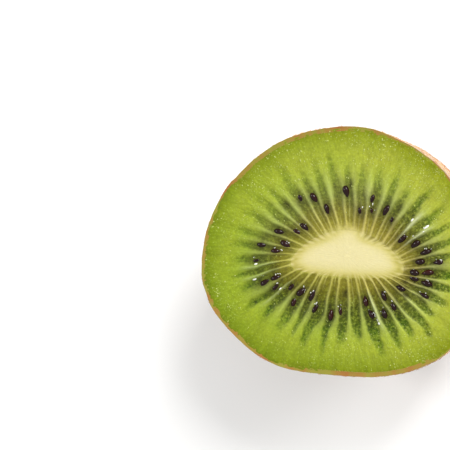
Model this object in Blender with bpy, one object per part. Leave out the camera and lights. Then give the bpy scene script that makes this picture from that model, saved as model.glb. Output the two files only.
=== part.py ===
"""Half a kiwi fruit, cut across and resting on its stem end with the cut face up.

It is two solids: the flesh, with its skin and the seeds in the cut, and the pale core
that runs down through it. Lengths are metres and +Z is up. The origin is on the plane
that the half rests on, under the middle of its outline.
"""

import math
import random

import bmesh
import bpy
import numpy as np

MM = 0.001

# The whole half
FACE_RADIUS = 26.0 * MM  # mean radius of the cut face
HALF_LENGTH = 34.0 * MM  # from the stem end up to the cut face
DOME_FULLNESS = 2.3  # 2 is an ellipse, and more is blunter
# How the outline leaves a circle: waves round it, size of each, and where its crest is
FACE_WAVES = ((1, 0.81 * MM, -78.0), (2, 1.93 * MM, -2.3), (3, 0.81 * MM, -33.6))

# The stem end: a flat ring to rest on, round the hollow that the stem left
REST_RADIUS = 5.4 * MM
HOLLOW_RADIUS = 3.2 * MM
HOLLOW_FLOOR_RADIUS = 1.9 * MM
HOLLOW_DEPTH = 0.8 * MM

# The pale core, as the cut shows it: a low arch over a nearly straight lower edge
CORE_HALF_WIDTH = 11.3 * MM
CORE_ARCH = 6.55 * MM
CORE_BELLY = 2.55 * MM
CORE_ARCH_POWER = 1.55
CORE_BELLY_POWER = 0.55
CORE_TURN = -2.5  # degrees
CORE_CENTRE = (1.05 * MM, -2.36 * MM)
CORE_DEPTH = 27.0 * MM
CORE_END_SHARE = 0.3  # width of its flat lower end, as a share of its width at the cut
CORE_FULLNESS = 2.4
GAP = 0.3 * MM  # clearance between the core and the flesh round it

# The seed chambers that fan out round the core, with a thin wall between each two
CHAMBERS = 38
FIRST_WALL = 0.015  # share of the way round, from +X, at which the first wall lies
WALL_LEAN = 0.02  # how far the walls lean round the core, as a share of its outline
LEAN_START = 0.08
CHAMBER_DEPTH = 0.3 * MM
CHAMBER_REACH = 0.64  # where a chamber ends, as a share of the way from core to skin
FACE_REACHES = (0.0, 0.05, 0.13, 0.22, 0.32, 0.42, 0.53, 0.64, 0.82, 1.0)

# The seeds
SEED_DRAW = 18559
SEED_LENGTH = 2.3 * MM
SEED_WIDTH = 1.35 * MM
SEED_HEIGHT = 1.2 * MM
SEED_SINK = 0.25 * MM  # how far a seed's middle lies below the cut
SEED_VARIATION = 0.12
SEED_WANDER = 0.24  # how far a seed lies off its chamber's middle, in chamber widths
SEED_TURN = 16.0  # degrees either way off the line from the core
INNER_BAND = (0.13, 0.26)
OUTER_BAND = (0.28, 0.45)
SEED_BANDS = ((), (INNER_BAND,), (OUTER_BAND,), (OUTER_BAND,), (INNER_BAND, OUTER_BAND))
SEED_SIDES = 6  # points round a seed
SEED_RINGS = 4

# Rings of the solids, and how finely a curved outline is measured
DOME_RINGS = 12
CORE_RINGS = 6
OUTLINE_STEPS = 1440
SMOOTH_ANGLE = math.radians(50.0)
WELD = 0.001 * MM

SKIN_COLOUR = (0.28, 0.14, 0.055)
FLESH_COLOUR = (0.38, 0.50, 0.07)
SEED_COLOUR = (0.02, 0.012, 0.014)
CORE_COLOUR = (0.82, 0.76, 0.42)


def clear_scene():
    for thing in list(bpy.data.objects):
        bpy.data.objects.remove(thing)


def make_material(name, colour, roughness):
    material = bpy.data.materials.new(name)
    material.use_nodes = True
    shader = material.node_tree.nodes["Principled BSDF"]
    shader.inputs["Base Color"].default_value = (*colour, 1.0)
    shader.inputs["Roughness"].default_value = roughness
    shader.inputs["Metallic"].default_value = 0.0
    return material


# Outlines in plan, as arrays of (x, y)


def raw_face_outline(angles):
    radius = np.full_like(angles, FACE_RADIUS)
    for waves, size, crest in FACE_WAVES:
        radius += size * np.cos(waves * (angles - math.radians(crest)))
    return np.stack([radius * np.cos(angles), radius * np.sin(angles)], axis=1)


def raw_core_outline(angles):
    sines = np.sin(angles)
    across = CORE_HALF_WIDTH * np.cos(angles)
    arch = CORE_ARCH * np.abs(sines) ** CORE_ARCH_POWER
    belly = -CORE_BELLY * np.abs(sines) ** CORE_BELLY_POWER
    up = np.where(sines > 0, arch, belly)
    turn = math.radians(CORE_TURN)
    x = CORE_CENTRE[0] + across * math.cos(turn) - up * math.sin(turn)
    y = CORE_CENTRE[1] + across * math.sin(turn) + up * math.cos(turn)
    return np.stack([x, y], axis=1)


def along(outline, shares):
    """The points at the given shares of a closed outline's length."""
    points = outline(np.linspace(0.0, 2.0 * math.pi, OUTLINE_STEPS + 1))
    steps = np.hypot(*np.diff(points, axis=0).T)
    travelled = np.concatenate([[0.0], np.cumsum(steps)])
    where = np.mod(shares, 1.0) * travelled[-1]
    return np.stack([np.interp(where, travelled, points[:, axis]) for axis in (0, 1)], axis=1)


def column_shares():
    """Where the columns of points lie round the half: a wall and a chamber by turns."""
    return FIRST_WALL + np.arange(2 * CHAMBERS) / (2 * CHAMBERS)


def plan_offset():
    """The middle of the box round the face, which the origin lies under."""
    points = along(raw_face_outline, column_shares())
    return (points.min(axis=0) + points.max(axis=0)) / 2


def face_edge(shares):
    return along(raw_face_outline, shares) - plan_offset()


def core_edge(shares):
    lean = WALL_LEAN * (1.0 - np.cos(4.0 * math.pi * (shares - LEAN_START))) / 2.0
    return along(raw_core_outline, shares + lean)


def inset(points, distance):
    """A closed outline, counter-clockwise, moved inwards by a distance."""
    ahead = np.roll(points, -1, axis=0) - np.roll(points, 1, axis=0)
    ahead /= np.hypot(*ahead.T)[:, None]
    inward = np.stack([-ahead[:, 1], ahead[:, 0]], axis=1)
    return points + inward * distance


def level(points, height):
    """Plan points as a ring at a height, or at a height of its own for each point."""
    heights = np.broadcast_to(height, len(points))
    return np.column_stack([points, heights])


def rounded_profile(end_share, fullness, rings):
    """(width share, depth share) of each ring, from full width down to a blunt end."""
    last = math.acos(end_share ** (fullness / 2.0))
    angles = np.linspace(0.0, last, rings + 1)
    widths = np.cos(angles) ** (2.0 / fullness)
    depths = np.sin(angles) ** (2.0 / fullness)
    return list(zip(widths, depths / depths[-1]))


# The rings of each solid


def core_rings(clearance):
    """Rings of the core's shape from the cut down, inset by a clearance all round."""
    edge = core_edge(column_shares())
    centre = np.array(CORE_CENTRE)
    rings = []
    for width, depth in rounded_profile(CORE_END_SHARE, CORE_FULLNESS, CORE_RINGS):
        depth_m = depth * (CORE_DEPTH - clearance)
        middle = centre * (1.0 - depth_m / HALF_LENGTH)
        ring = inset(middle + (edge - centre) * width, clearance)
        rings.append(level(ring, HALF_LENGTH - depth_m))
    return rings


def cut_rings():
    """Rings of the cut face between core and skin, with a shallow dip at each chamber."""
    shares = column_shares()
    inner = core_edge(shares)
    outer = face_edge(shares)
    in_chamber = np.arange(len(shares)) % 2
    rings = []
    for reach in FACE_REACHES[1:-1]:
        dip = math.sin(math.pi * min(reach / CHAMBER_REACH, 1.0)) ** 0.5 * CHAMBER_DEPTH
        rings.append(level(inner + (outer - inner) * reach, HALF_LENGTH - dip * in_chamber))
    return rings


def skin_rings():
    """Rings down the outside, from the cut's edge to the edge of the resting ring."""
    edge = face_edge(column_shares())
    circle = edge / np.hypot(*edge.T)[:, None] * FACE_RADIUS
    rings = []
    for width, depth in rounded_profile(REST_RADIUS / FACE_RADIUS, DOME_FULLNESS, DOME_RINGS):
        rounding = depth**3
        ring = (edge * (1.0 - rounding) + circle * rounding) * width
        rings.append(level(ring, HALF_LENGTH * (1.0 - depth)))
    return rings


def stem_rings(rest_ring):
    """Rings of the stem's hollow, inside the ring that the half rests on."""
    flat = rest_ring[:, :2] / REST_RADIUS
    return [
        level(flat * HOLLOW_RADIUS, 0.0),
        level(flat * HOLLOW_FLOOR_RADIUS, HOLLOW_DEPTH),
    ]


def closed_solid(name, rings, materials, band_slots):
    """A grid wrapped through a list of rings and filled at both ends.

    band_slots has the material number of each band of faces between two rings.
    """
    columns = len(rings[0])
    shape = bmesh.new()
    bmesh.ops.create_grid(shape, x_segments=columns, y_segments=len(rings) - 1)
    for index, vert in enumerate(shape.verts):
        row, column = divmod(index, columns + 1)
        vert.co = rings[row][column % columns]
    for index, face in enumerate(shape.faces):
        face.material_index = band_slots[index // columns]
    bmesh.ops.remove_doubles(shape, verts=shape.verts, dist=WELD)
    ends = [edge for edge in shape.edges if edge.is_boundary]
    caps = bmesh.ops.holes_fill(shape, edges=ends, sides=0)["faces"]
    for face in caps:
        face.material_index = face.edges[0].link_faces[0].material_index
    bmesh.ops.recalc_face_normals(shape, faces=shape.faces)
    mesh = bpy.data.meshes.new(name)
    shape.to_mesh(mesh)
    shape.free()
    for material in materials:
        mesh.materials.append(material)
    mesh.shade_smooth()
    mesh.set_sharp_from_angle(angle=SMOOTH_ANGLE)
    solid = bpy.data.objects.new(name, mesh)
    bpy.context.scene.collection.objects.link(solid)
    return solid


# The seeds


def seed_places():
    """Share round, reach, turn and size of each seed: up to two in each chamber."""
    draw = random.Random(SEED_DRAW)
    places = []
    for chamber in range(CHAMBERS):
        for low, high in draw.choice(SEED_BANDS):
            wander = draw.uniform(-SEED_WANDER, SEED_WANDER)
            share = FIRST_WALL + (chamber + 0.5 + wander) / CHAMBERS
            reach = draw.uniform(low, high)
            turn = math.radians(draw.uniform(-SEED_TURN, SEED_TURN))
            size = 1.0 + draw.uniform(-SEED_VARIATION, SEED_VARIATION)
            places.append((share, reach, turn, size))
    return places


def make_seed(number, place, material):
    """One egg-shaped seed, its length along the line out from the core."""
    share, reach, turn, size = place
    inner = core_edge(np.array([share]))[0]
    outer = face_edge(np.array([share]))[0]
    x, y = inner + (outer - inner) * reach
    heading = math.atan2(*(outer - inner)[::-1]) + turn
    shape = bmesh.new()
    bmesh.ops.create_uvsphere(shape, u_segments=SEED_SIDES, v_segments=SEED_RINGS, radius=0.5)
    for vert in shape.verts:
        vert.co.x *= SEED_LENGTH * size
        vert.co.y *= SEED_WIDTH * size
        vert.co.z *= SEED_HEIGHT * size
    mesh = bpy.data.meshes.new(f"seed_{number}")
    shape.to_mesh(mesh)
    shape.free()
    mesh.materials.append(material)
    seed = bpy.data.objects.new(mesh.name, mesh)
    seed.location = (x, y, HALF_LENGTH - SEED_SINK)
    seed.rotation_euler = (0.0, 0.0, heading)
    return seed


def fuse_seeds(flesh, material):
    """Joins the seeds to the flesh, so that they are one closed body with it."""
    seeds = bpy.data.collections.new("seeds")
    bpy.context.scene.collection.children.link(seeds)
    for number, place in enumerate(seed_places()):
        seeds.objects.link(make_seed(number, place, material))
    union = flesh.modifiers.new("seeds", "BOOLEAN")
    union.operation = "UNION"
    union.operand_type = "COLLECTION"
    union.collection = seeds
    union.material_mode = "TRANSFER"
    bpy.context.view_layer.objects.active = flesh
    bpy.ops.object.modifier_apply(modifier=union.name)
    for seed in list(seeds.objects):
        bpy.data.objects.remove(seed)
    bpy.data.collections.remove(seeds)


# The two pieces


def make_flesh():
    """The flesh and skin: a pocket for the core, the cut, the outside and the stem end."""
    pocket = core_rings(0.0)[::-1]
    cut = cut_rings()
    skin = skin_rings()
    stem = stem_rings(skin[-1])
    inside_bands = len(pocket) + len(cut)
    outside_bands = len(skin) + len(stem) - 1
    flesh = closed_solid(
        "flesh",
        pocket + cut + skin + stem,
        [make_material("flesh", FLESH_COLOUR, 0.3), make_material("skin", SKIN_COLOUR, 0.8)],
        [0] * inside_bands + [1] * outside_bands,
    )
    fuse_seeds(flesh, make_material("seed", SEED_COLOUR, 0.2))
    return flesh


def make_core():
    """The pale core, which fills the flesh's pocket up to the cut."""
    rings = core_rings(GAP)
    material = make_material("core", CORE_COLOUR, 0.4)
    return closed_solid("core", rings, [material], [0] * (len(rings) - 1))


def main():
    clear_scene()
    make_flesh()
    make_core()


if __name__ == "__main__":
    main()
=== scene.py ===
"""The looks of half a kiwi fruit lying with its cut up: hairy skin, green flesh, seeds and core.

Run as a script in Blender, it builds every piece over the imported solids, with a plain studio
round them. Lengths are metres, +Z is up, and +X is to the right in the camera's view.
"""

import math
import random

import bmesh
import bpy
import numpy as np
from bpy.props import FloatProperty, FloatVectorProperty, IntProperty, PointerProperty
from mathutils import Matrix, Vector


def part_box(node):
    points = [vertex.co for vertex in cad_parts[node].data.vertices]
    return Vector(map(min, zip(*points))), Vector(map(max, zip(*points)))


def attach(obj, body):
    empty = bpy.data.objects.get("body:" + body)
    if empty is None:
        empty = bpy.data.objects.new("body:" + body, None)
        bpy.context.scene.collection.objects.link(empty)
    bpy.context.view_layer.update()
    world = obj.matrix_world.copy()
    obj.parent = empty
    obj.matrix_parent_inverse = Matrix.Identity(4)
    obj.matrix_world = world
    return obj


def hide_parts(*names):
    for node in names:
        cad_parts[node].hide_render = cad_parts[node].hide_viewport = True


bl_info = {
    "name": "Fruit Half",
    "version": (1, 0, 0),
    "blender": (4, 5, 0),
    "location": "3D View > Sidebar > Fruit",
    "description": "Builds half a kiwi fruit with its skin, flesh, seeds, core and a plain studio",
    "category": "Object",
}

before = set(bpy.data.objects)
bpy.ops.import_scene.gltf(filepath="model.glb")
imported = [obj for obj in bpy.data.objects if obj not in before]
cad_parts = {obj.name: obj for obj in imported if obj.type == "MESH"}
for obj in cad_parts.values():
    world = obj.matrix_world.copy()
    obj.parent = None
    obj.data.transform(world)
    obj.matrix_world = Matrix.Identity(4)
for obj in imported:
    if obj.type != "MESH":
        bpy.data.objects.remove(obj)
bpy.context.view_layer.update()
CUT_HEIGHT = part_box("core")[1].z

MM = 0.001

# The outline of the cut, as the solids have it
FACE_RADIUS = 26.0 * MM
FACE_WAVES = ((1, 0.81 * MM, -78.0), (2, 1.93 * MM, -2.3), (3, 0.81 * MM, -33.6))
DOME_FULLNESS = 2.3
REST_RADIUS = 5.4 * MM
HOLLOW_RADIUS = 3.2 * MM
HOLLOW_SLOPE_RADIUS = 2.4 * MM
HOLLOW_FLOOR_RADIUS = 1.9 * MM
HOLLOW_DEPTH = 0.8 * MM

# The outline of the core, as the solids have it
CORE_HALF_WIDTH = 11.3 * MM
CORE_ARCH = 6.55 * MM
CORE_BELLY = 2.55 * MM
CORE_ARCH_POWER = 1.55
CORE_BELLY_POWER = 0.55
CORE_TURN = -2.5
CORE_CENTRE = (1.05 * MM, -2.36 * MM)
CORE_DEPTH = 27.0 * MM
CORE_END_SHARE = 0.3
CORE_FULLNESS = 2.4
CORE_RINGS = 6

# The seed chambers and seeds, as the solids have them
CHAMBERS = 38
FIRST_WALL = 0.015
WALL_LEAN = 0.02
LEAN_START = 0.08
SEED_DRAW = 18559
SEED_SINK = 0.25 * MM
SEED_VARIATION = 0.12
SEED_WANDER = 0.24
SEED_TURN = 16.0
INNER_BAND = (0.13, 0.26)
OUTER_BAND = (0.28, 0.45)
SEED_BANDS = ((), (INNER_BAND,), (OUTER_BAND,), (OUTER_BAND,), (INNER_BAND, OUTER_BAND))

# What is finer than the solids: an uneven outline, uneven chambers, their walls and their ends
EXTRA_RADIUS = 0.23 * MM
EXTRA_WAVES = (
    (3, 0.10 * MM, -34.6), (4, 0.09 * MM, -40.3), (6, 0.11 * MM, 5.3), (7, 0.10 * MM, -10.4), (9, 0.12 * MM, -1.8)
)
SMALL_WAVES = ((0.07 * MM, 52, 3), (0.05 * MM, 131, 4))  # size, how many round, draw
FRONT_BULGE = (0.22 * MM, -82.0, 38.0)  # size, middle and half width in degrees
SIDE_TUCK = (0.36 * MM, 74.0, 18.0)  # where the skin draws in more below the cut, given likewise
WALL_JITTER = 0.16  # how far a wall lies off its even place, in chamber widths
WALL_WOBBLE = 0.16  # how far it wanders on its way out
WALL_SHARE = 0.2  # how much of a chamber's half width the wall takes near the core
WALL_SPREADS_FROM = 0.2  # the reach where it starts to widen
WALL_WIDTH = 0.26  # a wall's pale line, as a share of half a chamber
ROOT_WIDTH = (0.32, 0.26)  # how much wider it is at the core, and the swing from there to the arch's top
PROUD_WIDTH = 0.2  # the same for a wall that stands out
MIDDLE_LINE_WIDTH = 0.13  # and for the line that splits a chamber
CORE_PEAK = 0.243  # where round the core's cream reaches furthest out
PEAK_WIDTH = 0.035  # how wide that is, as a share of the way round
CREAM_EDGE = ((-5.2, 0.9, 3.4), (6.4, 1.1, 3.2), (1.6, -0.8, 1.8))  # where the cream ends further in: x, mm, width
BELLY_EDGE = 0.25  # how far in it ends along the flat side, in mm
REACH_LENGTH = 18.5  # from core to skin, in mm
DARK_EDGE = 1.2  # the darkest edge's depth, in mm
CREAM_DEPTH = 3.0  # how deep the edge's colour fades into the cream, in mm
CHAMBER_START = (-0.006, 0.032)  # the reaches where chambers start
BROAD_SIDE = 0.86  # where round the chambers are broad and dark, with thin walls
BROAD_TO = 0.28  # how much further out their walls stay thin there
FAINT_SIDE = 0.33  # where round they are longer and fainter
FAINT_EXTRA = 0.05  # how much longer
FAINT_LOSS = 0.46  # how much fainter
FINGER_TIP = 0.06  # how long the rounded inner tip of a chamber is, as a share of the reach
SPLIT_CHAMBERS = 0.62  # how many chambers are split in two near the core
CHAMBER_END = (0.66, 0.88)  # the reaches where chambers end
PROUD_WALLS = (2, 3, 19, 20, 22, 30)  # walls that stand out, wet, painted pale: partly their own pale tissue, partly a painted highlight
DIM_SPOTS = 22  # seeds that show only dimly, below the cut
SEED_DEPTHS = (0.0, 0.05, 0.14, 0.26)  # how much deeper a seed lies, in mm

# Fixed starts of the random draws
WALL_DRAW = 23
CHAMBER_DRAW = 47
DIM_DRAW = 5
SEED_LOOK_DRAW = 8
JUICE_DRAW = 17

# Low relief, and how the pieces overlap out of sight
SWELL_HEIGHT = 0.16 * MM  # how far the flesh swells round a seed
WAVE_HEIGHT = 0.10 * MM  # of the slow waves all over the flesh
EDGE_DROP = 0.10 * MM  # how far it falls at the skin
CORE_OVERLAP = 0.06 * MM  # how far the core reaches into the flesh round it
CORE_CROWN = 0.06 * MM  # how far its middle rises above its edge
CORE_DROP = 0.015 * MM  # how far the whole face is lowered
CORE_GRAIN = 0.01 * MM
UNDER_TURN = (0.3 * MM, 0.4 * MM)  # how far in and down the flesh turns below its edge
UNDER_INSET = 0.86 * MM  # how far inside its edge the flesh runs down
UNDER_LIFT = 0.35 * MM  # how far above the skin's hollow it ends
BUTTON_RINGS = ((0.3, 0.42), (0.8, 0.34), (1.3, 0.4), (1.75, 0.5), (2.0, 0.78), (1.8, 1.0))  # radius, height in mm
HAIR_LEAN = (68.0, 87.0)  # degrees from upright
HAIR_SIZES = (0.45, 1.15)  # smallest and largest

# Mesh fineness
OUTLINE_STEPS = 1440
FACE_COLUMNS = 16 * CHAMBERS
FACE_RINGS = 112
FACE_RING_SPREAD = 1.25
SKIN_COLUMNS = 300
SKIN_RINGS = 64
CORE_COLUMNS = 16 * CHAMBERS
CORE_FACE_RINGS = 30
CORE_RING_SPREAD = 1.2
BUTTON_COLUMNS = 48
WELD = 0.0005 * MM
SHARP = math.radians(62.0)

# The camera: where the middle of the cut lies in the 450 by 450 picture, and how large
PICTURE_SIZE = 450
CUT_PIXEL = (348.0, 251.0)
CUT_POINT = (1.26 * MM, 0.18 * MM)
PIXELS_PER_METRE = 5140.0
CAMERA_DISTANCE = 0.600
CAMERA_TILT = 14.0
CAMERA_TOWARDS = 15.0
SENSOR = 36.0

LIGHT_LEVEL = 1.32  # how bright the studio's light makes a white card lying on the cut
GLOSS_LEVEL = 0.012  # what a wet surface there reflects besides its own colour
SHEEN = {"Sheen Roughness": 0.3, "Sheen Tint": (1.0, 0.96, 0.9, 1.0)}


def screen(red, green, blue):
    """A colour as it looks under the studio's light, each part 0 to 255, as a shader takes it."""
    parts = (red / 255.0, green / 255.0, blue / 255.0)
    linear = (p / 12.92 if p <= 0.04045 else ((p + 0.055) / 1.055) ** 2.4 for p in parts)
    return tuple(max(p - GLOSS_LEVEL, 0.1 * p) / LIGHT_LEVEL for p in linear)


def colour_property(name, description, default):
    return FloatVectorProperty(
        name=name, description=description, default=default, subtype="COLOR", size=3, min=0.0, max=1.0
    )


def length_property(name, description, default):
    return FloatProperty(name=name, description=description, default=default, min=0.0, unit="LENGTH", precision=5)


class FleshLook(bpy.types.PropertyGroup):
    """Sizes and colours of the cut flesh."""

    chamber_depth: length_property("Chamber depth", "How far a seed chamber lies below the cut", 0.22 * MM)
    wall_height: length_property("Wall height", "How far a chamber's wall stands out", 0.09 * MM)
    proud_height: length_property("Proud wall height", "How far the few proud walls stand out", 0.24 * MM)
    grain_height: length_property("Grain height", "Height of the finest unevenness", 0.035 * MM)
    outer_colour: colour_property("Outer flesh", "The pale flesh outside the chambers", screen(171, 182, 60))
    chamber_colour: colour_property("Chambers", "The flesh inside the seed chambers", screen(98, 104, 32))
    tip_colour: colour_property("Chamber ends", "The flesh at the chambers' outer ends", screen(84, 112, 18))
    line_colour: colour_property("Walls", "The thin walls between chambers", screen(198, 208, 120))
    shade_colour: colour_property("Seed shade", "The flesh over a sunken seed", screen(50, 46, 26))


class CoreLook(bpy.types.PropertyGroup):
    """Colours of the pale core."""

    middle_colour: colour_property("Middle", "The core's middle", screen(233, 222, 166))
    edge_colour: colour_property("Edge", "The core's edge and the roots of the walls", screen(186, 176, 86))


class SeedLook(bpy.types.PropertyGroup):
    """Sizes and colours of the seeds."""

    length: length_property("Length", "Length of a seed", 2.3 * MM)
    width: length_property("Width", "Width of a seed", 1.35 * MM)
    height: length_property("Height", "Height of a seed", 1.2 * MM)
    dark_colour: colour_property("Dark", "Most seeds", screen(44, 25, 16))
    light_colour: colour_property("Reddish", "The lightest seeds", screen(64, 33, 24))


class SkinLook(bpy.types.PropertyGroup):
    """Sizes and colours of the skin and its hairs."""

    thickness: length_property("Thickness", "Thickness of the skin", 0.35 * MM)
    lip: length_property("Cut edge width", "Width of the skin's edge that shows at the cut", 0.06 * MM)
    tuck: length_property("Tuck", "How far the skin draws in below the cut's edge", 0.2 * MM)
    unevenness: length_property("Unevenness", "Size of the skin's lumps and dents", 0.12 * MM)
    tan_colour: colour_property("Tan", "The skin's pale tan", screen(174, 126, 66))
    olive_colour: colour_property("Olive", "The skin's greenish brown patches", screen(130, 100, 36))
    dark_colour: colour_property("Dark", "The skin's dark red-brown flecks", screen(98, 56, 22))
    rim_colour: colour_property("Cut edge", "The skin's cut edge", screen(172, 112, 58))
    hair_colour: colour_property("Hairs", "The hairs", screen(234, 164, 102))
    hair_length: length_property("Hair length", "Length of a hair", 1.3 * MM)
    hair_width: length_property("Hair width", "Width of a hair at its root", 0.19 * MM)
    hairs_per_mm2: FloatProperty(name="Hairs", description="Hairs on a square millimetre", default=3.0, min=0.0)


class JuiceLook(bpy.types.PropertyGroup):
    """Sizes and number of the beads of juice on the cut."""

    outer_beads: IntProperty(name="Outer beads", description="Beads on the outer flesh", default=460, min=0)
    chamber_beads: IntProperty(name="Chamber beads", description="Beads in the chambers", default=170, min=0)
    smallest: length_property("Smallest", "Radius of the smallest bead", 0.045 * MM)
    largest: length_property("Largest", "Radius of the largest bead", 0.15 * MM)
    # Paler than the flesh below: partly a painted sparkle of light on the wet beads.
    colour: colour_property("Colour", "The juice's colour", screen(210, 218, 128))


class StudioLook(bpy.types.PropertyGroup):
    """The floor and lights."""

    floor_colour: colour_property("Floor", "The floor's colour", (0.93, 0.93, 0.92))
    floor_size: length_property("Floor size", "Side of the floor", 3.0)
    fill: FloatProperty(name="Fill", description="Brightness of the light from all round", default=0.72, min=0.0)
    key_power: FloatProperty(name="Key", description="Power of the main light in watts", default=3.8, min=0.0)
    side_power: FloatProperty(name="Side", description="Power of the second light in watts", default=0.8, min=0.0)
    low_power: FloatProperty(name="Low", description="Power of the low light in watts", default=3.6, min=0.0)


# Curves, and smooth random fields over the cut from -1 to 1


def smoothstep(low, high, values):
    share = np.clip((values - low) / (high - low), 0.0, 1.0)
    return share * share * (3.0 - 2.0 * share)


def plateau(low, rise, fall, high, values):
    """0 up to low and from high on, and 1 between the two inner values."""
    return smoothstep(low, rise, values) * (1.0 - smoothstep(fall, high, values))


def bell(values, middle, width):
    return np.exp(-(((values - middle) / width) ** 2))


def patches(shares, reaches, around, outward, draw):
    """Smooth random patches: `around` of them round the half, `outward` from core to skin."""
    grid = np.random.default_rng(draw).uniform(-1.0, 1.0, (outward + 2, around))
    across = np.mod(shares, 1.0) * around
    along = np.clip(reaches, 0.0, 1.0) * outward
    column = np.floor(across).astype(int)
    row = np.floor(along).astype(int)
    across = smoothstep(0.0, 1.0, across - column)
    along = smoothstep(0.0, 1.0, along - row)
    left, right = (
        grid[row, at % around] * (1.0 - along) + grid[row + 1, at % around] * along for at in (column, column + 1)
    )
    return left * (1.0 - across) + right * across


# Outlines in plan


def raw_face_outline(angles):
    radius = np.full_like(angles, FACE_RADIUS)
    for waves, size, crest in FACE_WAVES:
        radius += size * np.cos(waves * (angles - math.radians(crest)))
    return np.stack([radius * np.cos(angles), radius * np.sin(angles)], axis=1)


def raw_core_outline(angles):
    sines = np.sin(angles)
    across = CORE_HALF_WIDTH * np.cos(angles)
    arch = CORE_ARCH * np.abs(sines) ** CORE_ARCH_POWER
    belly = -CORE_BELLY * np.abs(sines) ** CORE_BELLY_POWER
    up = np.where(sines > 0, arch, belly)
    turn = math.radians(CORE_TURN)
    x = CORE_CENTRE[0] + across * math.cos(turn) - up * math.sin(turn)
    y = CORE_CENTRE[1] + across * math.sin(turn) + up * math.cos(turn)
    return np.stack([x, y], axis=1)


def along(outline, shares):
    """The points at the given shares of a closed outline's length."""
    points = outline(np.linspace(0.0, 2.0 * math.pi, OUTLINE_STEPS + 1))
    steps = np.hypot(*np.diff(points, axis=0).T)
    travelled = np.concatenate([[0.0], np.cumsum(steps)])
    where = np.mod(shares, 1.0) * travelled[-1]
    return np.stack([np.interp(where, travelled, points[:, axis]) for axis in (0, 1)], axis=1)


def plan_offset():
    """The middle of the box round the face, as the solids measure it."""
    points = along(raw_face_outline, FIRST_WALL + np.arange(2 * CHAMBERS) / (2 * CHAMBERS))
    return (points.min(axis=0) + points.max(axis=0)) / 2


def face_edge(shares):
    return along(raw_face_outline, shares) - plan_offset()


def bulge(points, size, middle, width):
    """A smooth bulge of an outline. Its middle and half width are in degrees round."""
    return size * bell(np.degrees(np.arctan2(points[:, 1], points[:, 0])), middle, width)


def flesh_edge(shares):
    """The cut's outline with its small unevenness, a little larger than the solids have it."""
    points = face_edge(shares)
    angles = np.arctan2(points[:, 1], points[:, 0])
    extra = EXTRA_RADIUS + bulge(points, *FRONT_BULGE)
    for waves, size, crest in EXTRA_WAVES:
        extra = extra + size * np.cos(waves * (angles - math.radians(crest)))
    for size, around, draw in SMALL_WAVES:
        extra = extra + size * patches(shares, np.zeros_like(shares), around, 1, draw)
    return points * (1.0 + extra / np.hypot(*points.T))[:, None]


def core_edge(shares):
    lean = WALL_LEAN * (1.0 - np.cos(4.0 * math.pi * (shares - LEAN_START))) / 2.0
    return along(raw_core_outline, shares + lean)


def cream_shift(shares):
    """How far inside the core's edge the cream ends at the given shares round, in mm."""
    x, y = (core_edge(shares) - (0.0, CORE_CENTRE[1])).T / MM
    arch = sum(depth * bell(x, middle, width) for middle, depth, width in CREAM_EDGE)
    on_arch = smoothstep(0.0, 1.5, y)
    return arch * on_arch + BELLY_EDGE * (1.0 - on_arch)


def inset(points, distance):
    """A closed outline, counter-clockwise, moved inwards by a distance."""
    ahead = np.roll(points, -1, axis=0) - np.roll(points, 1, axis=0)
    ahead /= np.hypot(*ahead.T)[:, None]
    inward = np.stack([-ahead[:, 1], ahead[:, 0]], axis=1)
    return points + inward * distance


def level(points, height):
    return np.column_stack([points, np.broadcast_to(height, len(points))])


def rounded_profile(end_share, fullness, rings):
    """(width share, depth share) of each ring, from full width down to a blunt end."""
    last = math.acos(end_share ** (fullness / 2.0))
    angles = np.linspace(0.0, last, rings + 1)
    widths = np.cos(angles) ** (2.0 / fullness)
    depths = np.sin(angles) ** (2.0 / fullness)
    return list(zip(widths, depths / depths[-1]))


# The pattern of chambers, walls and seeds on the cut


def chamber_grid(shares, reaches):
    """Each point's chamber number, and how far across it the point lies, from -1 to 1."""
    draw = np.random.default_rng(WALL_DRAW)
    walls = FIRST_WALL + (np.arange(CHAMBERS) + draw.uniform(-WALL_JITTER, WALL_JITTER, CHAMBERS)) / CHAMBERS
    walls = np.concatenate([[walls[-1] - 1.0], walls, [walls[0] + 1.0]])
    numbers = np.arange(-1, CHAMBERS + 1)
    wobble = WALL_WOBBLE * patches(shares, reaches, CHAMBERS, 5, 31) * smoothstep(0.05, 0.3, reaches)
    count = np.interp(np.mod(shares, 1.0), walls, numbers) + wobble
    number = np.floor(count).astype(int)
    return number % CHAMBERS, 2.0 * (count - number) - 1.0


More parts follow.
